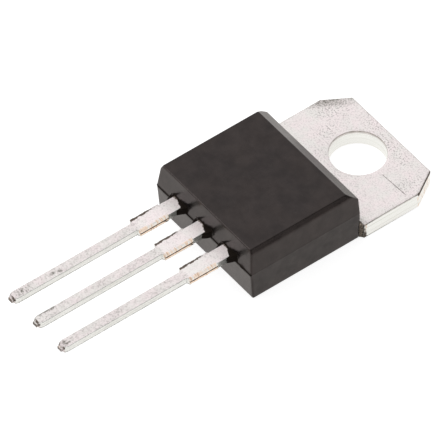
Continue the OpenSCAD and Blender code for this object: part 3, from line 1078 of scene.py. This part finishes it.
def stub_marks(x, y, z, look, front):
    """Cut stub: strokes of copper dragged over its right upper edge, torn copper on the lower
    half of its cut walls with a dark slit of painted shade in the groove above, and a burr that tapers
    along its left edge."""
    side, half = from_lead(x), look.stub_width / 2
    _, start, root = lead_places(look, front)
    cut_wall = np.abs(side) > half - 0.09 * MM
    dragged = 0.52 * band(side, half - 0.2 * MM, half + 0.1 * MM, 0.06 * MM) * (z > LEAD_MIDDLE)
    torn = cut_wall * (z < LEAD_MIDDLE) * np.clip((z - LEAD_LOW) / (0.14 * MM), 0.35, 0.95)
    # Painted shade: a dark slit in the groove between sheared and torn metal.
    slit = 0.82 * cut_wall * band(z, LEAD_MIDDLE - 0.045 * MM, LEAD_MIDDLE + 0.055 * MM, 0.02 * MM)
    to_end = start + look.burr_length - y
    reach = 0.09 + 0.07 * np.clip(to_end / look.burr_length, 0, 1) + 0.04 * ripple(y, z, 10, 0.13 * MM)
    burr = band(side, -half - 0.1 * MM, reach * MM - half, 0.05 * MM) * (z > LEAD_TOP - 0.06 * MM)
    burr = burr * np.clip(to_end / (0.9 * MM), 0, 0.72)
    return {
        "bare": np.maximum(dragged, torn) * band(y, start - 0.1 * MM, root, 0.05 * MM),
        "burnt": np.maximum(burr, slit) * band(y, start - 0.02 * MM, root, 0.03 * MM),
    }


def tip_marks(x, y, z, look, front):
    """End of a lead: sheared copper nib, a coined facet darkened with painted shade, and dirt on its left
    rounded cut.
    """
    tip = lead_places(look, front)[0]
    nib = y < tip + HAIR
    coined = band(y, tip + HAIR, tip + look.tip_length, 0.02 * MM)
    coined = coined * (z > LEAD_MIDDLE) * (z < LEAD_TOP - HAIR)
    # Painted shade on the coined facet.
    facet = coined * (0.56 + 0.25 * ripple(x, z, 7, 0.12 * MM))
    cheek = from_lead(x) < 0.06 * MM - end_width(look, y - tip) / 2
    cheek = 0.7 * cheek * band(y, tip, tip + look.tip_cut_along, 0.06 * MM)
    return {
        "bare": 0.4 * nib * (z < LEAD_MIDDLE + look.tip_thickness / 2 + HAIR),
        "burnt": np.maximum(facet, 0.55 * (y < LEAD_END + HAIR)),
        "grime": np.maximum(0.42 * nib, cheek),
    }


def root_marks(x, y, z, look, front):
    """Root of a lead: a ragged dark ring at the moulding, wider to the right, and walls darkened with
    painted shade by the moulding.
    """
    side, half = from_lead(x), look.root_width / 2
    root = lead_places(look, front)[2]
    reach = 0.05 + 0.05 * ripple(x, z, 8, 0.1 * MM) + 0.2 * np.clip(side / half, 0, 1)
    ring = 0.9 * band(y, front - reach * MM, front + 0.3 * MM, 0.03 * MM) * (z > LEAD_MIDDLE)
    # Painted shade on the root's walls beside the black moulding, strongest next to it.
    walls = band(y, root + HAIR, front, 0.02 * MM) * (np.abs(side) > half - 0.04 * MM)
    walls = walls * (z < LEAD_TOP - 0.01 * MM)
    return {
        "burnt": ring * (y < front + 0.2 * MM),
        "grime": walls * np.clip((y - front + 0.75 * MM) / (0.3 * MM), 0.75, 1),
    }


def lead_marks(x, y, z, look, front):
    """Whole lead: its walls, upper edges outlined with painted shade, a line of painted shade along its
    lower edges, and a faint drab film that is half as strong on the walls."""
    tip, start, root = lead_places(look, front)
    wall = (y < front) * (y > tip + look.tip_length) * band(z, LEAD_LOW + HAIR, LEAD_TOP - HAIR, HAIR)
    # Painted shade: a dark line along the upper edges, weaker towards the tip.
    outline = (y < root) * band(LEAD_TOP - z, 0.008 * MM, look.arris, 0.006 * MM)
    upper = (z > LEAD_TOP - look.arris) * (y < front)
    drab = (0.21 + 0.05 * ripple(y, 2 * x, 9, 0.5 * MM)) * band(y, LEAD_END, start, 0.1 * MM)
    # Painted shade: a dark line along the lead's lower edges.
    foot = 0.8 * (z < LEAD_LOW + 0.08 * MM) * (y < start) * (y > tip)
    return {
        "wall": wall,
        "rim": outline * np.interp(y, [tip, start], [0.15, 0.55]),
        "grime": np.maximum.reduce([drab * np.where(upper, 1, 0.5), foot, upper * marked(x, y, SPOTS)]),
    }


def tab_edge_marks(x, y, z, look, front):
    """Edges of the tab: layered walls, a rolled rim and a dark line on the outer walls' tops, both painted
    shade, a torn dark band with copper below it at the right cut corner, a lower edge darkened with painted
    shade, and copper and burnt resin by the moulding."""
    on_tab = y > -look.tab_step - HAIR
    right = on_tab * (x > 0)
    below, height = TAB_THICKNESS - z, z / TAB_THICKNESS
    outer = on_tab * (np.abs(x) > TAB_HALF - 0.05 * MM)
    cut = from_cut(x, y, look)
    outline = np.minimum(np.minimum(TAB_HALF - np.abs(x), TAB_END - y), cut)
    # Painted shade: a dark line along the tab's rolled upper edges.
    rim = on_tab * band(below, 0.01 * MM, look.roll, 0.01 * MM)
    by_moulding, step_end = -look.tab_step, -3.4 * MM
    torn = 0.72 * right * (cut < 0.03 * MM) * band(below, 0.02 * MM, 0.24 * MM, 0.02 * MM)
    # Painted shade: a dark line near the top of the outer walls.
    line = outer * band(below, 0.03 * MM, 0.08 * MM, 0.02 * MM)
    line = line * (0.22 + 0.4 * np.abs(y + 1.0 * MM) / (2.5 * MM))
    # Painted shade along the tab's lower edge, where it meets the floor.
    foot = on_tab * (outline < 0.04 * MM) * (z < 0.08 * MM) * np.clip(0.55 - y / (8 * MM), 0.3, 0.9)
    scorched = outer * band(y, by_moulding, step_end, 0.35 * MM) * (0.74 - 0.36 * height)
    to_knot = np.hypot(cut, y - TAB_END + look.tab_cut_along)
    knot = 0.75 * right * (height > 0.86) * np.exp(-(to_knot / (0.12 * MM)) ** 2)
    corner = 0.44 * right * (cut < 0.1 * MM) * (height < 0.78)
    inner = 0.55 * outer * band(y, by_moulding, step_end, 0.25 * MM)
    return {
        "wall": on_tab * band(z, 0.03 * MM, TAB_THICKNESS - look.roll, 0.02 * MM),
        "rim": rim * (1 - 0.4 * (x > TAB_HALF - 0.1 * MM)),
        "bare": np.maximum(corner, inner),
        "burnt": np.maximum.reduce([torn, line, foot, scorched, knot]),
    }


def tab_face_marks(x, y, z, look, front):
    """Upper face of the tab: a stain in its left corner, dirt along its outline and beside the
    moulding, a thin film of dust, and the residue on the step below."""
    top = (np.abs(z - TAB_THICKNESS) < SKIN) * (y > -look.tab_step - HAIR)
    cut = from_cut(x, y, look)
    outline = np.minimum(np.minimum(TAB_HALF - np.abs(x), TAB_END - y), cut)
    deep = np.clip(1 - cut / (0.8 * MM), 0, 1) * (x < 0)
    stain = 1.1 * deep ** 0.7 * np.clip((2.75 * MM - y) / (1.2 * MM), 0.4, 1)
    rim_dirt = 0.3 * np.clip(1 - outline / (0.16 * MM), 0, 1)
    seam = 0.45 * band(y, -3.9 * MM, -3.4 * MM, 0.35 * MM)
    dust = np.full_like(x, 0.075)
    face = np.maximum.reduce([stain, rim_dirt, seam, dust, marked(x, y, SPOTS)])
    step = 0.6 * band(y, -look.tab_step - 0.3 * MM, -look.tab_step + HAIR, 0.02 * MM)
    step = step * (z < TAB_THICKNESS - 0.05 * MM) * (np.abs(x) > look.pad_width / 2)
    return {"grime": np.maximum(top * face, step)}


def metal_marks(x, y, z, look, front):
    """Masks of the lead frame: at each place the strongest of the marks of each kind."""
    masks = {name: 0 * x for name in METAL_MASKS}
    masks["scuff"] = marked(x, y, SCUFFS) * (z > TAB_THICKNESS - SKIN)
    for marks in (stub_marks, tip_marks, root_marks, lead_marks, tab_edge_marks, tab_face_marks):
        for name, strength in marks(x, y, z, look, front).items():
            masks[name] = np.maximum(masks[name], strength)
    return masks


def resin_marks(x, y, z, look, metal, front):
    """Masks of the moulding: black broken resin along the parting plane with painted shade under its step,
    a patch of painted shade beside each lead's root, dark webs, painted shade that dims the low sides'
    reflection, and the crust in the notches."""
    # The dark parting band: broken flash plus painted shade under the parting step.
    lump = np.exp(-((x - look.lump) / (0.25 * MM)) ** 2)
    height = (z - LEAD_LOW - 0.05 * MM * lump) / ((0.11 + 0.05 * lump) * MM)
    line = np.exp(-height ** 4) * (y < front + 0.05 * MM)
    # Painted shade: a dark patch on the wall beside each lead's root, mostly to its right, over the lead's
    # shade and dark reflection.
    side = from_lead(x)
    reach = (0.38 + 0.12 * ripple(z, x, 5, 0.15 * MM)) * MM * np.where(side > 0, 1, 0.2)
    crest = LEAD_TOP + (0.13 + 0.06 * ripple(x, z, 6, 0.09 * MM)) * MM
    painted_root_shade = band(np.abs(side) - metal.root_width / 2, -metal.root_width, reach, 0.06 * MM)
    painted_root_shade = painted_root_shade * band(z, LEAD_LOW - 0.05 * MM, crest, 0.05 * MM) * (y < front + 0.3 * MM)
    # Painted shade for the low side walls, which mirror the shadowed floor beside the object.
    low_side = (np.abs(x) > MOULDING_HALF - 0.3 * MM) * band(z, 0, LEAD_LOW, 0.1 * MM)
    notch = (y > -look.back + 0.01 * MM) * (z < TAB_THICKNESS)
    values = (
        np.maximum.reduce([line, painted_root_shade, y < front - 0.07 * MM]),
        low_side * (y > front + 0.1 * MM),
        notch * (np.abs(x) > metal.pad_width / 2),
    )
    return dict(zip(RESIN_MASKS, values))


# ---------------------------------------------------------------------------
# Operators
# ---------------------------------------------------------------------------

def front_wall(look):
    """Place of the moulding's front at the parting plane."""
    return MOULDING_LOW[1] + look.front_inset


def tinned(piece, node, look, front):
    """Marks a piece of the lead frame and stands it in for its node."""
    painted(piece, metal_marks, look, front)
    material = bpy.data.materials.get("matt_tin") or tin_material(look)
    return finished(piece, node + "_tinned", material, [node])


class TRANSISTOR_OT_leads(bpy.types.Operator):
    """Make the base and emitter leads with their stubs, coined tips and bond posts"""

    bl_idname = "transistor.leads"
    bl_label = "Outer leads"

    def execute(self, context):
        look, front = context.scene.transistor_metal, front_wall(context.scene.transistor_moulding)
        for node, x in (("base_lead", -LEAD_PITCH), ("emitter_lead", LEAD_PITCH)):
            tinned(straight_lead(node + "_tinned", x, look, front), node, look, front)
        return {"FINISHED"}


class TRANSISTOR_OT_header(bpy.types.Operator):
    """Make the copper header: tab, plate, bent link and middle lead"""

    bl_idname = "transistor.header"
    bl_label = "Collector header"

    def execute(self, context):
        look, front = context.scene.transistor_metal, front_wall(context.scene.transistor_moulding)
        tinned(header_piece(look, front), "collector_header", look, front)
        return {"FINISHED"}


class TRANSISTOR_OT_moulding(bpy.types.Operator):
    """Make the epoxy moulding with its draft, edges, flash and the resin beside the leads"""

    bl_idname = "transistor.moulding"
    bl_label = "Moulding"

    def execute(self, context):
        look, metal = context.scene.transistor_moulding, context.scene.transistor_metal
        front = front_wall(look)
        piece = moulding_surface(look, front)
        webs = [web_block(k * LEAD_PITCH, look, metal, front, 20 + k) for k in (-1, 0, 1)]
        crusts = [notch_crust(side, look, metal, 40 + side) for side in (-1, 1)]
        combined(piece, "UNION", webs + crusts)
        shown = [bpy.data.objects[node + "_tinned"] for node in FRAME_NODES]
        combined(piece, "DIFFERENCE", shown, keep=True)
        combined(piece, "DIFFERENCE", [copied(node) for node in INNER_NODES])
        painted(piece, resin_marks, look, metal, front)
        finished(piece, "moulding", resin_material(look), ["moulded_body"], crease=40)
        return {"FINISHED"}


class TRANSISTOR_OT_inside(bpy.types.Operator):
    """Finish the solder, the chip and the bond wires inside the moulding"""

    bl_idname = "transistor.inside"
    bl_label = "Chip and wires"

    def execute(self, context):
        wire = wire_material()
        finishes = (solder_material(), silicon_material(), wire, wire)
        for node, material in zip(INNER_NODES, finishes):
            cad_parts[node].material_slots[0].material = material
        return {"FINISHED"}


class TRANSISTOR_OT_stage(bpy.types.Operator):
    """Set the camera, the pale floor, the world and the soft lamp"""

    bl_idname = "transistor.stage"
    bl_label = "Stage"

    def execute(self, context):
        look = context.scene.transistor_stage
        context.scene.view_settings.view_transform = "Standard"
        aim_camera(look)
        lay_floor(look)
        light_world(look)
        hang_lamp(look)
        return {"FINISHED"}


# ---------------------------------------------------------------------------
# Stage
# ---------------------------------------------------------------------------

def aim_camera(look):
    """Camera that looks at the target from the given angles, with no shift or blur."""
    turn, rise = look.azimuth, look.elevation
    back = Vector((
        math.sin(turn) * math.cos(rise), -math.cos(turn) * math.cos(rise), math.sin(rise),
    ))
    right = (-back).cross(Vector((0, 0, 1))).normalized()
    up = right.cross(-back)
    tilt_right = right * math.cos(look.roll) + up * math.sin(look.roll)
    tilt_up = up * math.cos(look.roll) - right * math.sin(look.roll)
    data = bpy.data.cameras.new("camera")
    data.sensor_width = 36.0
    data.lens = look.focal_share * data.sensor_width
    data.clip_start, data.clip_end = 0.01, 10.0
    camera = placed("camera", data)
    place = Matrix((tilt_right, tilt_up, back)).transposed().to_4x4()
    place.translation = Vector(look.target) + back * look.distance
    camera.matrix_world = place
    bpy.context.scene.camera = camera


def rays(tree):
    """Masks of the rays from the camera, and of the mirrored and refracted rays."""
    path = add(tree, "LightPath").outputs
    return path["Is Camera Ray"], calc(tree, "MAXIMUM", path["Is Glossy Ray"], path["Is Transmission Ray"])


def lay_floor(look):
    """Level pale floor under the heatsink face.

    It shows brighter to the eye than its own light makes it, so that only the object's shadow
    stands out. Reflections see it more evenly lit, so that bright metal keeps its own colour.
    """
    half = look.floor_size / 2
    mesh = bpy.data.meshes.new("floor")
    corners = [(-half, -half, 0), (half, -half, 0), (half, half, 0), (-half, half, 0)]
    mesh.from_pydata(corners, [], [(0, 1, 2, 3)])
    floor = placed("floor", mesh)
    floor.location.z = -0.01 * MM
    material = bpy.data.materials.new("pale_floor")
    tree = empty_tree(material)
    eye, mirrored = rays(tree)
    evened = [look.mirrored_share * part for part in look.floor_colour]
    paint = add(tree, "BsdfDiffuse", {"Color": mix_colour(tree, mirrored, look.floor_colour, evened)})
    to_eye, to_metal = times(tree, eye, look.floor_glow), times(tree, mirrored, look.mirrored_glow)
    glow = add(tree, "Emission", {
        "Color": mix_colour(tree, eye, look.glow_tint, (1.0, 1.0, 1.0)),
        "Strength": calc(tree, "MAXIMUM", to_eye, to_metal),
    })
    both = add(tree, "AddShader", {0: paint.outputs["BSDF"], 1: glow.outputs["Emission"]})
    add(tree, "OutputMaterial", {"Surface": both.outputs["Shader"]})
    mesh.materials.append(material)


def light_world(look):
    """World that is white to the eye and gives a soft light, stronger on its bright side.

    Mirrored and refracted rays see the same white on that side.
    """
    world = bpy.data.worlds.new("studio")
    bpy.context.scene.world = world
    tree = empty_tree(world)
    eye, mirrored = rays(tree)
    way = add(tree, "TexCoord").outputs["Generated"]
    facing = add(tree, "VectorMath", {0: way, 1: look.bright_side}, operation="DOT_PRODUCT")
    share = remap(tree, facing.outputs["Value"], -0.3, 0.95, smooth=True)
    seen = calc(tree, "MAXIMUM", eye, times(tree, mirrored, share))
    soft, white = (
        add(tree, "Background", {"Color": (1.0, 1.0, 1.0), "Strength": strength}).outputs["Background"]
        for strength in (remap(tree, share, 0.0, 1.0, look.dim, look.bright), 1.0)
    )
    shown = add(tree, "MixShader", {0: seen, 1: soft, 2: white})
    add(tree, "OutputWorld", {"Surface": shown.outputs["Shader"]})


def hang_lamp(look):
    """Wide soft lamp that faces the target."""
    data = bpy.data.lights.new("soft_box", "AREA")
    data.shape = "SQUARE"
    data.size = look.lamp_size
    data.energy = look.lamp_power
    lamp = placed("soft_box", data)
    lamp.location = look.lamp_place
    lamp.rotation_mode = "QUATERNION"
    lamp.rotation_quaternion = (Vector(look.target) - lamp.location).to_track_quat("-Z", "Y")


class TRANSISTOR_PT_panel(bpy.types.Panel):
    """Settings and steps of the transistor"""

    bl_idname = "TRANSISTOR_PT_panel"
    bl_label = "Darlington transistor"
    bl_space_type = "VIEW_3D"
    bl_region_type = "UI"
    bl_category = "Transistor"

    def draw(self, context):
        for group in (MouldingSettings, MetalSettings, StageSettings):
            box = self.layout.box()
            settings = getattr(context.scene, GROUPS[group])
            for key in group.__annotations__:
                box.prop(settings, key)
        for step in STEPS:
            self.layout.operator(step.bl_idname)


GROUPS = {
    MouldingSettings: "transistor_moulding",
    MetalSettings: "transistor_metal",
    StageSettings: "transistor_stage",
}
STEPS = (
    TRANSISTOR_OT_stage, TRANSISTOR_OT_leads, TRANSISTOR_OT_header,
    TRANSISTOR_OT_moulding, TRANSISTOR_OT_inside,
)


def register():
    for group, name in GROUPS.items():
        bpy.utils.register_class(group)
        setattr(bpy.types.Scene, name, bpy.props.PointerProperty(type=group))
    for step in (*STEPS, TRANSISTOR_PT_panel):
        bpy.utils.register_class(step)


def unregister():
    for step in (*STEPS, TRANSISTOR_PT_panel):
        bpy.utils.unregister_class(step)
    for group, name in GROUPS.items():
        delattr(bpy.types.Scene, name)
        bpy.utils.unregister_class(group)


def main():
    register()
    bpy.ops.transistor.stage()
    bpy.ops.transistor.leads()
    bpy.ops.transistor.header()
    bpy.ops.transistor.moulding()
    bpy.ops.transistor.inside()


if __name__ == "__main__":
    main()
